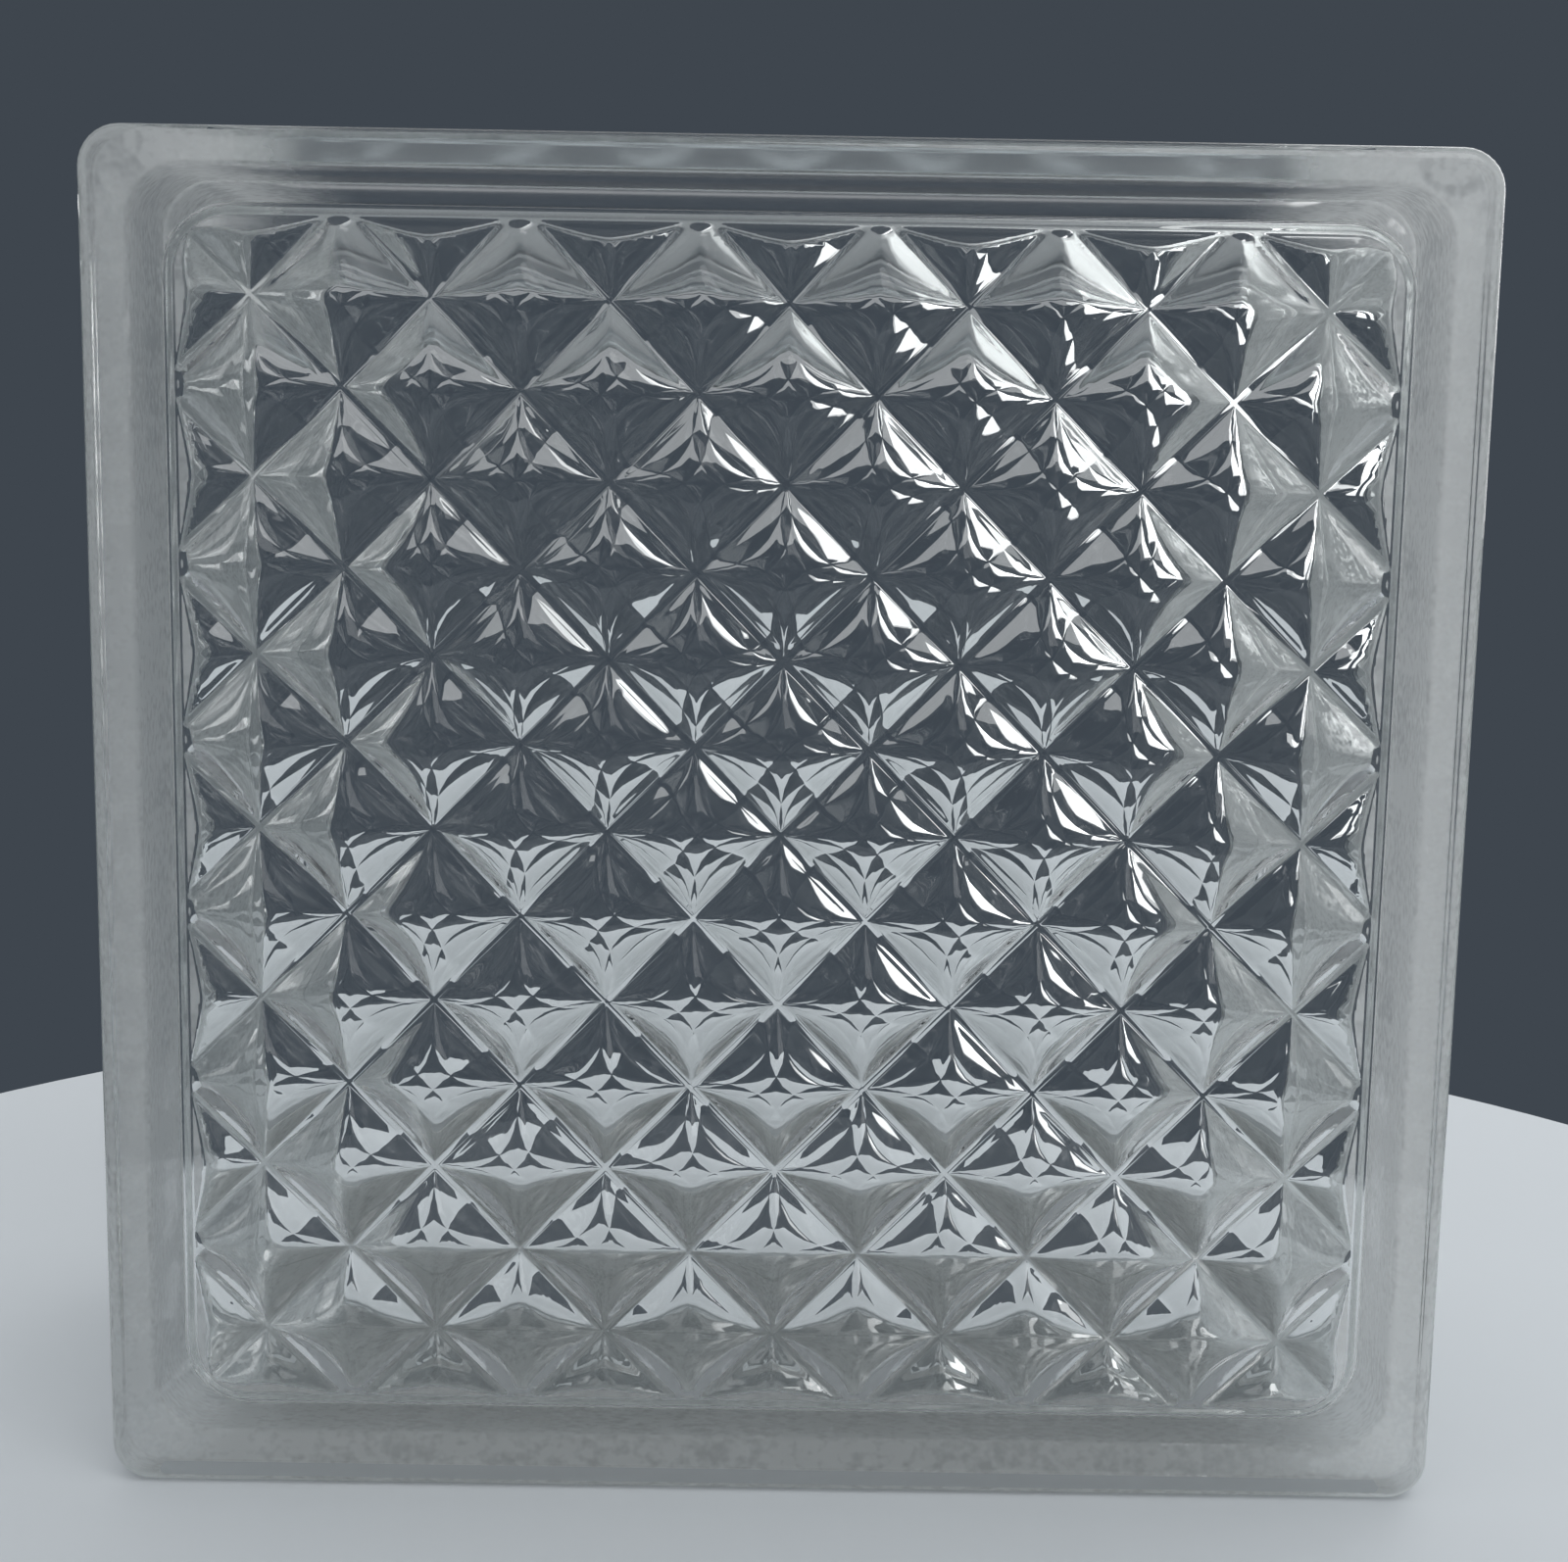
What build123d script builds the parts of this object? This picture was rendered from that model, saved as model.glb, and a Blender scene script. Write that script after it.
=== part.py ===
from build123d import *
import math
import os

os.makedirs("parts", exist_ok=True)

# Hollow pressed-glass block, standing upright.
# Frame: origin under the middle of the block, +Z up, the viewed face looks to -Y, +X to its right.

# Block, measured over the two face flanges
face_w = 196.85  # square face, 7 3/4 in
block_d = 98.42  # outside of one face to outside of the other, 3 7/8 in
face_corner_r = 6.0  # corners of the square, seen from the front
face_edge_r = 2.4  # softened edge all round each face

# Mortar channel round the four sides, between the two face flanges
flange_d = 13.0  # width of the clear land of a flange, along Y
shoulder_d = 3.0  # slope from the land down to the channel floor, along Y
channel_depth = 4.2  # channel floor below the land, beside the shoulder
channel_depth_seam = 3.5  # the floor rises a little towards the seam
channel_corner_r = 8.0

# Bead squeezed out where the two halves are fused
bead_h = 1.3  # height above the channel floor
bead_half_w = 1.6  # width on each half, at its foot
bead_half_top = 0.6  # width on each half, at its top

# Hollow of each half
wall_margin = 9.4  # side of the hollow from the side of the block, at the ledge
hollow_corner_r = 10.0
hollow_draft = 1.0  # degrees, wider towards the seam
ledge_t = 11.5  # glass thickness under the narrow ledge round the diamond field
ledge_w = 1.9  # ledge with its fillet
hollow_fillet_r = 1.5  # between the ledge and the side walls
flank_angle = 50.0  # slope from the ledge down into the field, degrees

# Diamond field on the inside of each face: crossing ridges with four-sided pits between them
ridge_pitch = 12.7 * math.sqrt(2)  # between neighbouring parallel ridges, 1/2 in half diagonals
ridge_t = 11.0  # glass thickness under a ridge
crest_w = 0.9  # flat top of a ridge
facet_angle_ridge = 35.0  # slope of a pit facet beside its ridge, degrees
facet_angle_low = 19.0  # and in the middle between two ridges: the facets are hollow ground
pit_t = 7.6  # glass thickness in the flat bottom of a pit

half_d = block_d / 2
facet_run = (ridge_pitch - crest_w) / 2
facet_r = facet_run / (math.sin(math.radians(facet_angle_ridge))
                       - math.sin(math.radians(facet_angle_low)))
hollow_w = face_w - 2 * wall_margin
field_w = hollow_w - 2 * ledge_w
field_corner_r = hollow_corner_r - ledge_w
over = 5.0  # cutters reach this far past the seam


def outline(width, corner_r, z):
    """Rounded square sketch at height z over the outer face."""
    return Plane.XY.offset(z) * RectangleRounded(width, width, corner_r)


def slab(width, corner_r, z0, z1):
    return extrude(outline(width, corner_r, z0), z1 - z0)


def between(lower, upper):
    """Solid between two rounded squares at different heights."""
    return loft([lower, upper], ruled=True)


def edges_at(solid, z):
    return [e for e in solid.edges() if abs(e.bounding_box().min.Z - z) < 1e-4
            and abs(e.bounding_box().max.Z - z) < 1e-4]


def outer_body():
    """Flange, shoulder, channel floor and half of the seam bead, in layers from the face up."""
    root_w = face_w - 2 * channel_depth
    seam_w = face_w - 2 * channel_depth_seam
    bead_w, bead_corner_r = seam_w + 2 * bead_h, channel_corner_r + bead_h
    land = outline(face_w, face_corner_r, flange_d)
    root = outline(root_w, channel_corner_r, flange_d + shoulder_d)
    bead_foot = outline(seam_w, channel_corner_r, half_d - bead_half_w)
    bead_edge = outline(bead_w, bead_corner_r, half_d - bead_half_top)

    flange = slab(face_w, face_corner_r, 0, flange_d)
    flange = fillet(edges_at(flange, 0), face_edge_r)
    sides = between(land, root) + between(root, bead_foot) + between(bead_foot, bead_edge)
    bead = slab(bead_w, bead_corner_r, half_d - bead_half_top, half_d)
    return flange + sides + bead


def facet_depth(run):
    """Depth under the crest of a ridge at a distance from its edge: an arc, steepest at the ridge."""
    steepest = math.radians(facet_angle_ridge)
    slope = math.asin(math.sin(steepest) - run / facet_r)
    return facet_r * (math.cos(slope) - math.cos(steepest))


def ridge_cutter():
    """Everything above one set of parallel ridges, ridges running along Y."""
    reach = math.ceil(face_w / ridge_pitch)
    end, top = reach * ridge_pitch, half_d + over
    lines = [Line((end, ridge_t), (end, top)), Line((end, top), (-end, top)),
             Line((-end, top), (-end, ridge_t))]
    for k in range(-reach, reach):
        middle = (k + 0.5) * ridge_pitch
        for side in (-1, 1):
            ridge, crest, halfway, low = [
                (middle + side * (facet_run - run), ridge_t - facet_depth(max(run, 0)))
                for run in (-crest_w / 2, 0, facet_run / 2, facet_run)]
            lines.append(Line(ridge, crest))
            lines.append(ThreePointArc(crest, halfway, low))
    profile = Plane.XZ * make_face(Curve() + lines)
    return extrude(profile, face_w, both=True)


def hollow():
    """The hollow of one half: side walls and ledge, and the diamond field sunk inside the ledge."""
    grow = 2 * (half_d + over - ledge_t) * math.tan(math.radians(hollow_draft))
    core = between(outline(hollow_w, hollow_corner_r, ledge_t),
                   outline(hollow_w + grow, hollow_corner_r, half_d + over))
    core = fillet(edges_at(core, ledge_t), hollow_fillet_r)
    run = (ledge_t - pit_t) / math.tan(math.radians(flank_angle))
    sunk = between(outline(field_w - 2 * run, field_corner_r - run, pit_t),
                   outline(field_w, field_corner_r, ledge_t))
    ridges = ridge_cutter()
    return (core + sunk) & (Rot(0, 0, 45) * ridges) & (Rot(0, 0, -45) * ridges)


half = outer_body() - hollow()
half = half.solids()[0] if hasattr(half, "solids") else half

upright = Pos(0, -half_d, face_w / 2) * Rot(-90, 0, 0)
front_half = upright * half
back_half = Rot(0, 0, 180) * front_half

front_half.label = "front_half"
back_half.label = "back_half"

for piece in (front_half, back_half):
    export_step(piece, "parts/" + piece.label + ".step")
    box = piece.bounding_box()
    print(piece.label, round(piece.volume / 1000, 1), "cm3",
          [round(v, 2) for v in (*box.min, *box.max)], "valid", piece.is_valid)
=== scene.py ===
import math
import bmesh
import bpy
from mathutils import Matrix, Vector, noise


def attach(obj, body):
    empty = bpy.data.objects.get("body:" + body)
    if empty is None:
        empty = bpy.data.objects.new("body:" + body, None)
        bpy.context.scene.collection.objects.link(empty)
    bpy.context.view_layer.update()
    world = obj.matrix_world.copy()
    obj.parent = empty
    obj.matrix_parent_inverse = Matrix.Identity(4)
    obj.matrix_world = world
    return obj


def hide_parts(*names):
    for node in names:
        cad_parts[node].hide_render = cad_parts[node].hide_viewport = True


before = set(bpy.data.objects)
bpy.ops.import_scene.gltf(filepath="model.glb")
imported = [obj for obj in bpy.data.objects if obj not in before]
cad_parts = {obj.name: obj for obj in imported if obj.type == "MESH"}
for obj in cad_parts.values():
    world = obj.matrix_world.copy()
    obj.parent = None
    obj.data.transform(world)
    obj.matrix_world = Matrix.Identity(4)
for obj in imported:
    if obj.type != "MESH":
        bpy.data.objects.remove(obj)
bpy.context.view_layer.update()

MM = 0.001

# ---- sizes of the block, in millimetres and degrees, the same as in the CAD source ----
FACE_W = 196.85
BLOCK_D = 98.42
FACE_CORNER_R = 6.0
FACE_EDGE_R = 2.4
FLANGE_D = 13.0
SHOULDER_D = 3.0
CHANNEL_DEPTH = 4.2
CHANNEL_DEPTH_SEAM = 3.5
CHANNEL_CORNER_R = 8.0
BEAD_H = 1.3
BEAD_HALF_W = 1.6
BEAD_HALF_TOP = 0.6
WALL_MARGIN = 9.4
HOLLOW_CORNER_R = 10.0
HOLLOW_DRAFT = 1.0
LEDGE_T = 11.5
LEDGE_W = 1.9
HOLLOW_FILLET_R = 1.5
FLANK_ANGLE = 50.0
RIDGE_PITCH = 12.7 * math.sqrt(2)
RIDGE_T = 11.0
CREST_W = 0.9
FACET_ANGLE_RIDGE = 35.0
FACET_ANGLE_LOW = 19.0

HALF_D = BLOCK_D / 2
HALF_W = FACE_W / 2
HOLLOW_HALF = HALF_W - WALL_MARGIN
FIELD_HALF = HOLLOW_HALF - LEDGE_W
FIELD_CORNER_R = HOLLOW_CORNER_R - LEDGE_W
STEEPEST = math.radians(FACET_ANGLE_RIDGE)
FACET_R = (RIDGE_PITCH - CREST_W) / 2 \
    / (math.sin(STEEPEST) - math.sin(math.radians(FACET_ANGLE_LOW)))
RIDGES_OUT = math.ceil(FIELD_HALF * math.sqrt(2) / RIDGE_PITCH)  # from the middle to a far corner

# ---- things only the visual model has, in millimetres ----
CREST_ROUND = 0.4  # run over which a ridge turns from its flat top into its facet
HIP_SHARPNESS = 6.0  # the plunger was polished: low is rounder towards the middle of a pit
FLANK_BLEND = 0.5  # rounding at the top and the foot of the flank
INNER_BEAD = 0.8  # glass squeezed inwards at the seam
RIPPLE, RIPPLE_HEIGHT = 9.0, 0.03  # slow ripple that the pressing leaves on the inside of a face
SOFTENED = (  # how far each edge of the outer shell is rounded, and in how many steps
    (FACE_EDGE_R, 7),  # edge of the face
    (0.6, 3),  # edge of the flange land
    (1.0, 4),  # foot of the shoulder
    (0.5, 3),  # foot of the seam bead
    (0.45, 3),  # its top
)

# ---- how fine the mesh is, in millimetres ----
CORNER_STEPS = 8  # edges round a corner
SIDE_CUTS = 20  # cuts in a straight side
SIDE_MIN = 50.0  # an edge longer than this is a straight side
NET_ROWS = (0.25, 0.45, 0.65, 1.2, 2.2, 3.6, 5.3, 7.1)  # lines of the net, from the middle of a ridge
NET_BORDER = 3.0  # the net stops this far inside the field's outline
BORDER_ROWS = (2.5, 2.05, 1.6, 1.2, 0.85, 0.5, 0.25, 0, -0.2)  # rows from there to past the outline
BORDER_CUTS = (-0.65, -0.25, 0.25, 0.65)  # cuts through those rows, from the middle of a ridge
FILLET_ANGLES = (15, 30, 45, 60, 75, 90)  # rows on the fillet of the hollow, in degrees
WALL_ROWS = (0.66, 0.33)  # rows on a side wall, as shares of its height over the seam
SEAM_ROWS = ((3.0, 0), (2.0, 0.2), (1.0, 0.6), (0, 1))  # height over the seam, share of INNER_BEAD
NET_SNAP, BORDER_SNAP, SEAM_SNAP = 0.01, 0.02, 0.001  # a cut this near to a point goes through it
FLAT_TOP = 1e-6  # a rise below this is the flat top of a ridge
FLAT_FACE_SIDES = 20  # only the two flat outer faces have this many sides

# ---- glass ----
GLASS_IOR = 1.52
GREEN_BLEND = 0.35  # how soon the green comes in towards a slanting view

# ---- bond coat: brushed into the channel and worn through in specks; where it is left also paints shade on the upper side and light at the bed and corners; in millimetres ----
STREAK, STREAK_STRETCH = 7.0, 0.12  # brush streaks: width, and how they are drawn out across the side
SPECK = 1.6  # worn specks
STREAK_DETAIL, SPECK_DETAIL = 2.0, 1.0  # finer octaves in each pattern
STREAK_FINE, SPECK_FINE = 0.6, 0.5  # how strong those are
WORN_AT, WHOLE_AT = 0.75, 1.1  # sum of both patterns in the middle of a speck and beside it
COVER_MIN, COVER_MAX = 0.7, 1.0  # share of the glass the film hides there
FILM_GLOW = 0.5  # share of the film that passes light on, the rest throws it back
COAT_ROUGHNESS = 0.12  # of the glass where the film is worn through
CORNER_FROM, CORNER_FULL = 66.0, 88.0  # away from the middle both ways: the corners keep the whole film in the channel, and on their lands it is painted light
PAINTED_SHADE_TOP_FROM, PAINTED_SHADE_TOP_FULL = 86.0, 91.0  # above the middle: painted shade, the film is left nearly off the upper side so that it shows darker
PAINTED_LIGHT_BED_FROM, PAINTED_LIGHT_BED_FULL = 88.0, 93.0  # under the middle: painted light, the bed side has film on its lands too so that it shows lighter
PAINTED_SHADE_TOP_FILM = 0.04  # share of the film left in the upper channel, for the painted shade there
LAND_VEIL, LAND_FILM_PAINTED_LIGHT = 0.12, 0.9  # film on the flange lands: a thin veil along the sides, and full at corners and bed as painted light
LAND_FROM = HALF_D - FLANGE_D
COAT_EDGE = 2.5  # the face and its softened edge stay free of it

# ---- studio, in metres ----
FLOOR_RADIUS, FLOOR_SIDES, FLOOR_ROUGHNESS = 0.24, 128, 0.9
LAMP_AIM = Vector((0, 0, 0.1))  # middle of the block

# ---- camera, fitted to the block's outline and its diamond field in the photograph ----
CAMERA_ASIDE, CAMERA_BEFORE, CAMERA_OVER = -0.7, 295.3, 50.2  # mm from the middle of the front face
CAMERA_DOWN, CAMERA_YAW, CAMERA_ROLL = 7.93, 0.2, 1.0  # degrees
PHOTO_W, FOCAL = 1600, 2138  # pixels of the photograph
SENSOR_W = 36  # mm


# ================= shaping helpers =================

def on_outline(x, y, from_half, from_r, to_half, to_r):
    """Move a point of one rounded square to the same place on another."""
    inner, to_inner = from_half - from_r, to_half - to_r
    ax, ay = abs(x), abs(y)
    if ax > inner and ay > inner:
        angle = math.atan2(ay - inner, ax - inner)
        nx, ny = to_inner + to_r * math.cos(angle), to_inner + to_r * math.sin(angle)
    elif ax > ay:
        nx, ny = to_half, ay * to_inner / inner
    else:
        nx, ny = ax * to_inner / inner, to_half
    return math.copysign(nx, x), math.copysign(ny, y)


def rounded_square(bm, half, corner_r):
    """A ring of edges: a circle whose points are moved to a rounded square, with its sides cut."""
    count = 4 * (CORNER_STEPS + 1)
    ring = bmesh.ops.create_circle(bm, segments=count, radius=1.0, cap_ends=False)["verts"]
    for v in ring:
        turn = round(math.degrees(math.atan2(v.co.y, v.co.x)) % 360 / 360 * count) % count
        corner, step = divmod(turn, CORNER_STEPS + 1)
        angle = math.radians(90 * (corner + step / CORNER_STEPS))
        sx, sy = ((1, 1), (-1, 1), (-1, -1), (1, -1))[corner]
        v.co.x = sx * (half - corner_r) + corner_r * math.cos(angle)
        v.co.y = sy * (half - corner_r) + corner_r * math.sin(angle)
        v.co.z = 0
    sides = [e for e in bm.edges if e.is_wire and e.calc_length() > SIDE_MIN]
    bmesh.ops.subdivide_edges(bm, edges=sides, cuts=SIDE_CUTS)


def boundary(bm):
    return [e for e in bm.edges if e.is_boundary or e.is_wire]


def raised(edges, z):
    """Put the points of some edges at one height."""
    for v in {v for e in edges for v in e.verts}:
        v.co.z = z


def next_row(bm, row, before, after, z):
    """Extrude a loop of edges from one rounded square (half width, corner radius) to another."""
    new = bmesh.ops.extrude_edge_only(bm, edges=row)["geom"]
    for v in (g for g in new if isinstance(g, bmesh.types.BMVert)):
        v.co = (*on_outline(v.co.x, v.co.y, *before, *after), z)
    return [g for g in new if isinstance(g, bmesh.types.BMEdge)]


def mirrored_in_seam(bm):
    bmesh.ops.mirror(bm, geom=bm.verts[:] + bm.edges[:] + bm.faces[:], matrix=Matrix.Identity(4),
                     merge_dist=SEAM_SNAP, axis="Z")


# ================= the block =================
# Both shells are made lying down, face up, with the seam at z = 0, and stood up at the end.

def outer_shell(bm):
    """Face, flange land, shoulder, channel floor and fused bead of both halves."""
    seam_half = HALF_W - CHANNEL_DEPTH_SEAM
    profile = (  # (half width, corner radius), height over the seam
        ((HALF_W, FACE_CORNER_R), HALF_D - FLANGE_D),
        ((HALF_W - CHANNEL_DEPTH, CHANNEL_CORNER_R), HALF_D - FLANGE_D - SHOULDER_D),
        ((seam_half, CHANNEL_CORNER_R), BEAD_HALF_W),
        ((seam_half + BEAD_H, CHANNEL_CORNER_R + BEAD_H), BEAD_HALF_TOP),
        ((seam_half + BEAD_H, CHANNEL_CORNER_R + BEAD_H), 0),
    )
    before = (HALF_W, FACE_CORNER_R)
    rounded_square(bm, *before)
    row = face_edge = boundary(bm)
    raised(face_edge, HALF_D)
    loops = [face_edge]
    for after, z in profile:
        row = next_row(bm, row, before, after, z)
        before = after
        loops.append(row)
    bmesh.ops.holes_fill(bm, edges=face_edge, sides=0)
    for edges, (size, steps) in zip(loops, SOFTENED):
        bmesh.ops.bevel(bm, geom=edges, offset=size, segments=steps, profile=0.5,
                        affect="EDGES", material=-1)
    mirrored_in_seam(bm)


def facet_rise(run):
    """Depth under a ridge at a distance from its middle: flat top, short round, hollow-ground facet."""
    start = (CREST_W - CREST_ROUND) / 2
    if run <= start:
        return 0.0
    if run < start + CREST_ROUND:
        return math.tan(STEEPEST) * (run - start) ** 2 / (2 * CREST_ROUND)
    slope = math.asin(math.sin(STEEPEST) - (run - CREST_W / 2) / FACET_R)
    return FACET_R * (math.cos(slope) - math.cos(STEEPEST))


def pit_depth(x, y):
    """Depth under the ridges: four facets, run softly into each other towards the middle."""
    total = 0.0
    for along in ((x + y) / math.sqrt(2), (x - y) / math.sqrt(2)):
        near = abs((along / RIDGE_PITCH + 0.5) % 1 - 0.5) * RIDGE_PITCH
        for run in (near, RIDGE_PITCH - near):
            rise = facet_rise(run)
            if rise < FLAT_TOP:
                return 0.0
            total += rise ** -HIP_SHARPNESS
    return total ** (-1 / HIP_SHARPNESS)


def blended(a, b, width):
    """The larger of two heights, rounded where they meet."""
    near = max(0.0, 1 - abs(a - b) / width)
    return max(a, b) + width * near * near / 4


def glass_thickness(x, y):
    """Thickness of the face: the diamond field, sunk inside a ledge with sloping flanks."""
    inner = FIELD_HALF - FIELD_CORNER_R
    ax, ay = abs(x), abs(y)
    if ax > inner and ay > inner:
        inside = FIELD_CORNER_R - math.hypot(ax - inner, ay - inner)
    else:
        inside = FIELD_HALF - max(ax, ay)
    slope = math.tan(math.radians(FLANK_ANGLE))
    flank = -blended(-LEDGE_T, inside * slope - LEDGE_T, FLANK_BLEND)
    if inside < 0:
        return flank
    return blended(RIDGE_T - pit_depth(x, y), flank, FLANK_BLEND)


def diamond_net(bm):
    """A net with its lines along the ridges, closest beside the crests, cut to a rounded square."""
    places = [-NET_ROWS[0], *NET_ROWS, RIDGE_PITCH / 2,
              *(RIDGE_PITCH - r for r in reversed(NET_ROWS[1:]))]
    count = 2 * RIDGES_OUT * len(places)
    bmesh.ops.create_grid(bm, x_segments=count, y_segments=count, size=1.0)
    turn = Matrix.Rotation(math.radians(45), 4, "Z")

    def placed(value):
        pitch, step = divmod(round((value + 1) / 2 * count), len(places))
        return (pitch - RIDGES_OUT) * RIDGE_PITCH + places[step]

    for v in bm.verts:
        v.co = turn @ Vector((placed(v.co.x), placed(v.co.y), 0))

    half, corner_r = FIELD_HALF - NET_BORDER, FIELD_CORNER_R - NET_BORDER
    for quarter in range(4):
        for k in range(CORNER_STEPS):
            angle = math.radians(90 * k / CORNER_STEPS)
            across = Matrix.Rotation(math.radians(90 * quarter), 3, "Z") \
                @ Vector((math.cos(angle), math.sin(angle), 0))
            out = corner_r + (half - corner_r) * (abs(across.x) + abs(across.y))
            bmesh.ops.bisect_plane(bm, geom=bm.verts[:] + bm.edges[:] + bm.faces[:], dist=NET_SNAP,
                                   plane_co=across * out, plane_no=across, clear_outer=True)
    return half, corner_r


def diamond_field(bm):
    """The inside of a face up to the ledge: the net, rows round it, and every point at its height."""
    before = diamond_net(bm)
    net_faces = set(bm.faces)
    row = boundary(bm)
    for s in BORDER_ROWS:
        after = (FIELD_HALF - s, FIELD_CORNER_R - s)
        row = next_row(bm, row, before, after, 0)
        before = after
    for across in (Vector((1, 1, 0)).normalized(), Vector((1, -1, 0)).normalized()):
        for k in range(-RIDGES_OUT, RIDGES_OUT + 1):
            for side in BORDER_CUTS:
                strip = [f for f in bm.faces if f not in net_faces]
                around = dict.fromkeys(e for f in strip for e in (*f.edges, *f.verts))
                bmesh.ops.bisect_plane(bm, geom=[*strip, *around], dist=BORDER_SNAP,
                                       plane_co=across * (k * RIDGE_PITCH + side), plane_no=across)
    for v in bm.verts:
        ripple = RIPPLE_HEIGHT * noise.noise(v.co / RIPPLE)
        v.co.z = HALF_D - glass_thickness(v.co.x, v.co.y) + ripple
    bmesh.ops.triangulate(bm, faces=bm.faces[:], quad_method="LONG_EDGE")


def hollow_shell(bm):
    """Inside of both halves: diamond field, ledge, side walls, ridge of glass at the seam."""
    diamond_field(bm)
    rim = boundary(bm)
    level = HALF_D - LEDGE_T
    raised(rim, level)

    r = HOLLOW_FILLET_R
    foot = (HOLLOW_HALF - r, HOLLOW_CORNER_R - r)
    rounded_square(bm, *foot)
    wall = [e for e in bm.edges if e.is_wire]
    raised(wall, level)
    bmesh.ops.triangle_fill(bm, edges=rim + wall, use_beauty=True)

    top = level - r
    draft = math.tan(math.radians(HOLLOW_DRAFT))
    profile = [(r * math.sin(math.radians(a)), level - r + r * math.cos(math.radians(a)))
               for a in FILLET_ANGLES]  # how much wider than the foot, height over the seam
    for z, inwards in (*((top * share, 0) for share in WALL_ROWS), *SEAM_ROWS):
        profile.append((r + (top - z) * draft - inwards * INNER_BEAD, z))
    row, before = wall, foot
    for grow, z in profile:
        after = (foot[0] + grow, foot[1] + grow)
        row = next_row(bm, row, before, after, z)
        before = after
    mirrored_in_seam(bm)


def glass_block():
    """One closed body of glass: outer shell and hollow, the four sides on the coat material."""
    outer, hollow = bmesh.new(), bmesh.new()
    outer_shell(outer)
    bmesh.ops.recalc_face_normals(outer, faces=outer.faces[:])
    for f in outer.faces:
        if abs(f.calc_center_median().z) < HALF_D - COAT_EDGE:
            f.material_index = 1
    hollow_shell(hollow)
    bmesh.ops.recalc_face_normals(hollow, faces=hollow.faces[:])
    bmesh.ops.reverse_faces(hollow, faces=hollow.faces[:])

    mesh = bpy.data.meshes.new("glass_block")
    outer.to_mesh(mesh)
    outer.free()
    hollow.from_mesh(mesh)  # now it holds both shells
    upright = Matrix.Translation((0, 0, HALF_W * MM)) @ Matrix.Rotation(math.radians(90), 4, "X") \
        @ Matrix.Scale(MM, 4)
    bmesh.ops.transform(hollow, matrix=upright, verts=hollow.verts[:])
    for f in hollow.faces:
        f.smooth = len(f.verts) < FLAT_FACE_SIDES
    hollow.to_mesh(mesh)
    hollow.free()
    block = bpy.data.objects.new("glass_block", mesh)
    bpy.context.scene.collection.objects.link(block)
    return block


# ================= materials =================

def linear(hex_colour):
    """An sRGB colour as the linear RGBA that a socket takes."""
    values = [int(hex_colour[i:i + 2], 16) / 255 for i in (1, 3, 5)]
    return [v / 12.92 if v <= 0.04045 else ((v + 0.055) / 1.055) ** 2.4 for v in values] + [1.0]


def material(name):
    mat = bpy.data.materials.new(name)
    mat.use_nodes = True
    mat.node_tree.nodes.clear()
    return mat, mat.node_tree


def add(tree, kind, settings=None, **inputs):
    """Add a node: settings are its own properties, inputs are values or (node, socket) links.
    An input is named as its socket, with _ for a space, or by the socket's number: i0, i1."""
    made = tree.nodes.new(kind)
    for key, value in (settings or {}).items():
        setattr(made, key, value)
    for key, value in inputs.items():
        socket = made.inputs[int(key[1:])] if key[0] == "i" and key[1:].isdigit() \
            else made.inputs[key.replace("_", " ")]
        if isinstance(value, tuple) and isinstance(value[0], bpy.types.Node):
            tree.links.new(value[0].outputs[value[1]], socket)
        else:
            socket.default_value = value
    return made


def pressed_glass():
    """Soda-lime glass, pressed in an iron mould and fire polished: clear and sharp, a little green
    where it is looked at aslant, through more glass. Its ripple is in the mesh."""
    mat, tree = material("pressed_soda_lime_glass")
    slant = add(tree, "ShaderNodeLayerWeight", Blend=GREEN_BLEND)
    tint = add(tree, "ShaderNodeMix", {"data_type": "RGBA"}, i0=(slant, "Facing"),
               i6=linear("#fdfefe"), i7=linear("#f0f7f4"))
    shader = add(tree, "ShaderNodeBsdfPrincipled", Base_Color=(tint, 2), Roughness=0.0,
                 IOR=GLASS_IOR, Transmission_Weight=1.0)
    add(tree, "ShaderNodeOutputMaterial", Surface=(shader, 0))
    return mat


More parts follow.
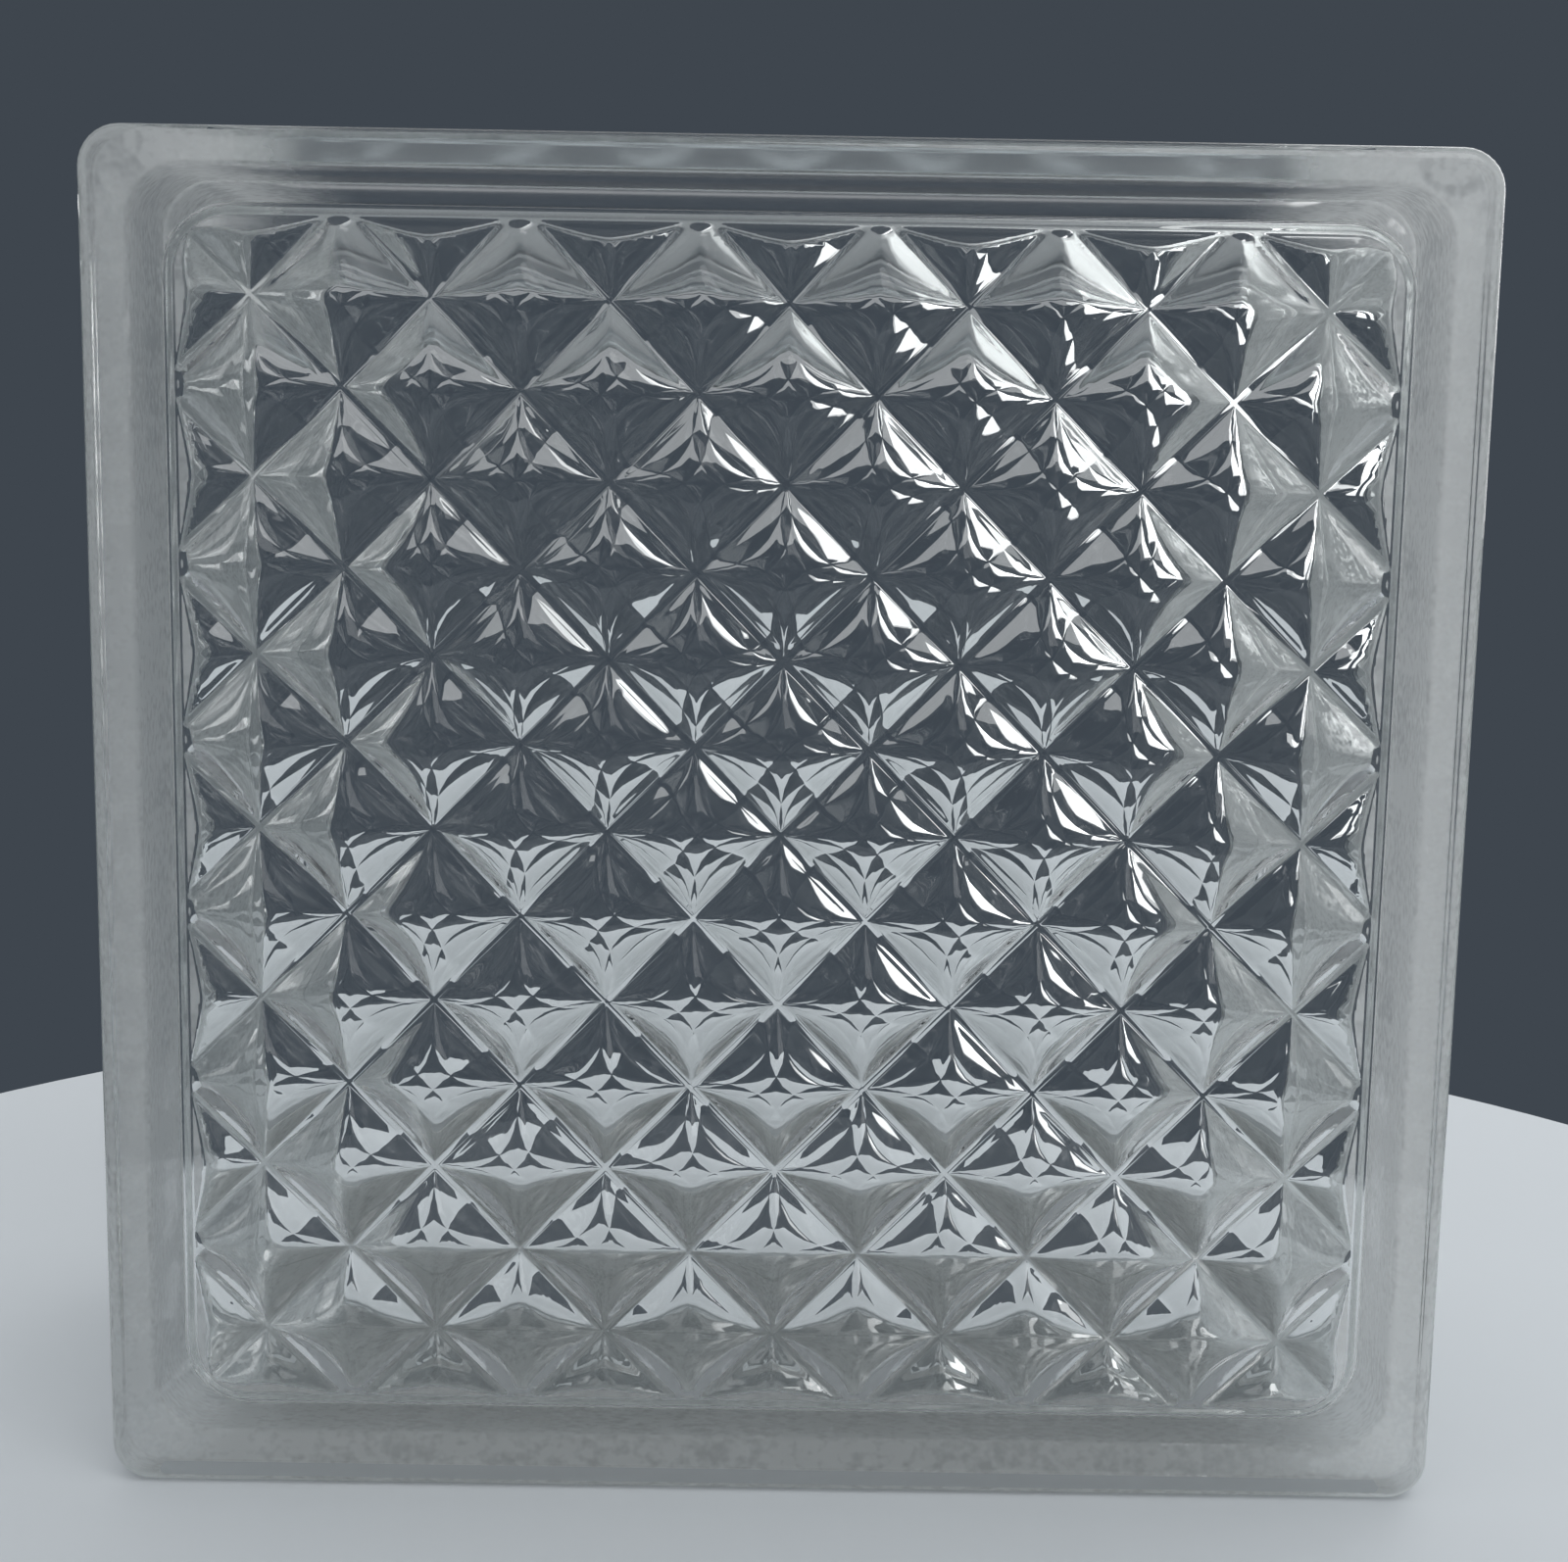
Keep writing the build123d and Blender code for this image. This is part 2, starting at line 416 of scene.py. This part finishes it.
def channel_coat():
    """Vinyl bond coat, brushed into the channel: a thin milky film, streaky along the brush and
    worn through in specks, so that clear glass shows between. Where it is left also paints shade
    and light: nearly none on the upper side, and film on the lands at the bed and corners."""
    mat, tree = material("satin_bond_coat_on_glass")
    place = add(tree, "ShaderNodeTexCoord")
    along = add(tree, "ShaderNodeMapping", Vector=(place, "Object"), Scale=(1.0, STREAK_STRETCH, 1.0))
    streaks = add(tree, "ShaderNodeTexNoise", Vector=(along, 0), Scale=1 / (STREAK * MM),
                  Detail=STREAK_DETAIL, Roughness=STREAK_FINE)
    specks = add(tree, "ShaderNodeTexNoise", Vector=(place, "Object"), Scale=1 / (SPECK * MM),
                 Detail=SPECK_DETAIL, Roughness=SPECK_FINE)
    both = add(tree, "ShaderNodeMath", {"operation": "ADD"}, i0=(streaks, 0), i1=(specks, 0))
    cover = add(tree, "ShaderNodeMapRange", Value=(both, 0), From_Min=WORN_AT, From_Max=WHOLE_AT,
                To_Min=COVER_MIN, To_Max=COVER_MAX)

    # where the film is left, measured from the middle of the block, along X and up Z: nearly none on the
    # upper side as painted shade, on the lands at the bed and corners as painted light
    axes = add(tree, "ShaderNodeSeparateXYZ", i0=(place, "Object"))
    aside = add(tree, "ShaderNodeMath", {"operation": "ABSOLUTE"}, i0=(axes, "X"))
    over = add(tree, "ShaderNodeMath", {"operation": "SUBTRACT"}, i0=(axes, "Z"), i1=HALF_W * MM)
    under = add(tree, "ShaderNodeMath", {"operation": "MULTIPLY"}, i0=(over, 0), i1=-1.0)
    either = add(tree, "ShaderNodeMath", {"operation": "ABSOLUTE"}, i0=(over, 0))
    both_ways = add(tree, "ShaderNodeMath", {"operation": "MINIMUM"}, i0=(aside, 0), i1=(either, 0))
    smooth = {"interpolation_type": "SMOOTHSTEP"}
    corner = add(tree, "ShaderNodeMapRange", smooth, Value=(both_ways, 0),
                 From_Min=CORNER_FROM * MM, From_Max=CORNER_FULL * MM)
    # painted shade: the film is left nearly off the upper side of the channel, so that side shows darker
    top = add(tree, "ShaderNodeMapRange", smooth, Value=(over, 0),
              From_Min=PAINTED_SHADE_TOP_FROM * MM, From_Max=PAINTED_SHADE_TOP_FULL * MM, To_Min=1.0, To_Max=PAINTED_SHADE_TOP_FILM)
    # painted light: film on the lands of the bed side and the corners, so they show lighter
    painted_light_bed = add(tree, "ShaderNodeMapRange", smooth, Value=(under, 0),
              From_Min=PAINTED_LIGHT_BED_FROM * MM, From_Max=PAINTED_LIGHT_BED_FULL * MM)
    channel_film_painted_shade = add(tree, "ShaderNodeMath", {"operation": "MAXIMUM"}, i0=(top, 0), i1=(corner, 0))
    painted_light_bed_corners = add(tree, "ShaderNodeMath", {"operation": "MAXIMUM"}, i0=(painted_light_bed, 0), i1=(corner, 0))
    land_film_painted_light = add(tree, "ShaderNodeMapRange", Value=(painted_light_bed_corners, 0), To_Min=LAND_VEIL, To_Max=LAND_FILM_PAINTED_LIGHT)
    depth = add(tree, "ShaderNodeMath", {"operation": "ABSOLUTE"}, i0=(axes, "Y"))
    land = add(tree, "ShaderNodeMath", {"operation": "GREATER_THAN"}, i0=(depth, 0),
               i1=LAND_FROM * MM)
    # film left: painted shade in the upper channel, painted light on the lands at the bed and corners
    film_painted_light_and_shade = add(tree, "ShaderNodeMix", i0=(land, 0), i2=(channel_film_painted_shade, 0), i3=(land_film_painted_light, 0))
    cover = add(tree, "ShaderNodeMath", {"operation": "MULTIPLY"}, i0=(cover, 0), i1=(film_painted_light_and_shade, 0))

    clear = add(tree, "ShaderNodeBsdfPrincipled", Base_Color=linear("#f2f6f6"),
                Roughness=COAT_ROUGHNESS, IOR=GLASS_IOR, Transmission_Weight=1.0)
    white = add(tree, "ShaderNodeBsdfDiffuse", Color=linear("#f4f6f6"))
    glow = add(tree, "ShaderNodeBsdfTranslucent", Color=linear("#f4f6f6"))
    film = add(tree, "ShaderNodeMixShader", i0=FILM_GLOW, i1=(white, 0), i2=(glow, 0))
    shader = add(tree, "ShaderNodeMixShader", i0=(cover, 0), i1=(clear, 0), i2=(film, 0))
    add(tree, "ShaderNodeOutputMaterial", Surface=(shader, 0))
    return mat


def paper_floor():
    """Plain pale background paper: uncoated, cool white, fully matt, so it shows only the shadow."""
    mat, tree = material("matt_background_paper")
    shader = add(tree, "ShaderNodeBsdfPrincipled", Base_Color=linear("#c3c8cc"),
                 Roughness=FLOOR_ROUGHNESS)
    add(tree, "ShaderNodeOutputMaterial", Surface=(shader, 0))
    return mat


# ================= studio =================

def studio_floor():
    """Round sheet of the paper on a table top; past its edge stands the backdrop, which is the world."""
    bm = bmesh.new()
    bmesh.ops.create_circle(bm, segments=FLOOR_SIDES, radius=FLOOR_RADIUS, cap_ends=True)
    mesh = bpy.data.meshes.new("floor")
    bm.to_mesh(mesh)
    bm.free()
    mesh.materials.append(paper_floor())
    made = bpy.data.objects.new("floor", mesh)
    bpy.context.scene.collection.objects.link(made)


def studio_world():
    """Dark grey backdrop where it is seen, by itself, in a reflection or through the glass, and an
    even pale light on everything matt."""
    world = bpy.data.worlds.new("studio")
    bpy.context.scene.world = world
    world.use_nodes = True
    tree = world.node_tree
    tree.nodes.clear()
    rays = add(tree, "ShaderNodeLightPath")
    seen = add(tree, "ShaderNodeMath", {"operation": "MAXIMUM"}, i0=(rays, "Is Camera Ray"),
               i1=(rays, "Is Glossy Ray"))
    seen = add(tree, "ShaderNodeMath", {"operation": "MAXIMUM"}, i0=(seen, 0),
               i1=(rays, "Is Transmission Ray"))
    direct = add(tree, "ShaderNodeMath", {"operation": "LESS_THAN"}, i0=(rays, "Diffuse Depth"),
                 i1=0.5)
    seen = add(tree, "ShaderNodeMath", {"operation": "MULTIPLY"}, i0=(seen, 0), i1=(direct, 0))
    light = add(tree, "ShaderNodeBackground", Color=linear("#e6e8ea"), Strength=1.0)
    backdrop = add(tree, "ShaderNodeBackground", Color=linear("#3f464e"), Strength=1.0)
    sky = add(tree, "ShaderNodeMixShader", i0=(seen, 0), i1=(light, 0), i2=(backdrop, 0))
    add(tree, "ShaderNodeOutputWorld", Surface=(sky, 0))


def softbox(name, azimuth, height, distance, size, radiance):
    """Area lamp of a given brightness, aimed at the block; azimuth from behind, to the right."""
    turn, up = math.radians(azimuth), math.radians(height)
    away = Vector((math.sin(turn) * math.cos(up), math.cos(turn) * math.cos(up), math.sin(up)))
    place = away * distance + LAMP_AIM
    data = bpy.data.lights.new(name, "AREA")
    data.shape = "RECTANGLE"
    data.size, data.size_y = size
    data.energy = radiance * math.pi * size[0] * size[1]
    made = bpy.data.objects.new(name, data)
    made.location = place
    made.rotation_euler = (LAMP_AIM - place).to_track_quat("-Z", "Y").to_euler()
    bpy.context.scene.collection.objects.link(made)


def studio_camera():
    """At the photograph's viewing angle."""
    place = Vector((CAMERA_ASIDE * MM, (-HALF_D - CAMERA_BEFORE) * MM, (HALF_W + CAMERA_OVER) * MM))
    pitch, yaw, roll = (math.radians(a) for a in (CAMERA_DOWN, CAMERA_YAW, CAMERA_ROLL))
    forward = Vector((math.sin(yaw) * math.cos(pitch), math.cos(yaw) * math.cos(pitch),
                      -math.sin(pitch)))
    level = Vector((math.cos(yaw), -math.sin(yaw), 0))
    above = level.cross(forward)
    right = math.cos(roll) * level + math.sin(roll) * above
    up = -math.sin(roll) * level + math.cos(roll) * above
    data = bpy.data.cameras.new("camera")
    data.sensor_width = SENSOR_W
    data.lens = SENSOR_W * FOCAL / PHOTO_W
    camera = bpy.data.objects.new("camera", data)
    camera.matrix_world = Matrix((
        (right.x, up.x, -forward.x, place.x),
        (right.y, up.y, -forward.y, place.y),
        (right.z, up.z, -forward.z, place.z),
        (0, 0, 0, 1)))
    bpy.context.scene.collection.objects.link(camera)
    bpy.context.scene.camera = camera


# ================= scene =================

block = glass_block()
block.data.materials.append(pressed_glass())
block.data.materials.append(channel_coat())
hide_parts("front_half", "back_half")
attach(block, "root")

scene = bpy.context.scene
scene.view_settings.view_transform = "Standard"
scene.cycles.max_bounces = 14
scene.cycles.transmission_bounces = 14
scene.cycles.glossy_bounces = 6
scene.cycles.diffuse_bounces = 2

studio_floor()
studio_world()
softbox("softbox_behind_right", 50, 24, 1.5, (1.7, 1.3), 0.6)
softbox("softbox_low", 40, 20, 1.2, (0.75, 0.8), 0.6)
softbox("softbox_small", 38, 15, 1.1, (0.28, 0.3), 1.8)
softbox("softbox_above", 8, 37, 1.5, (2.4, 1.0), 0.28)
softbox("softbox_front", 150, 52, 1.4, (0.8, 0.8), 1.8)
studio_camera()

bpy.context.view_layer.update()
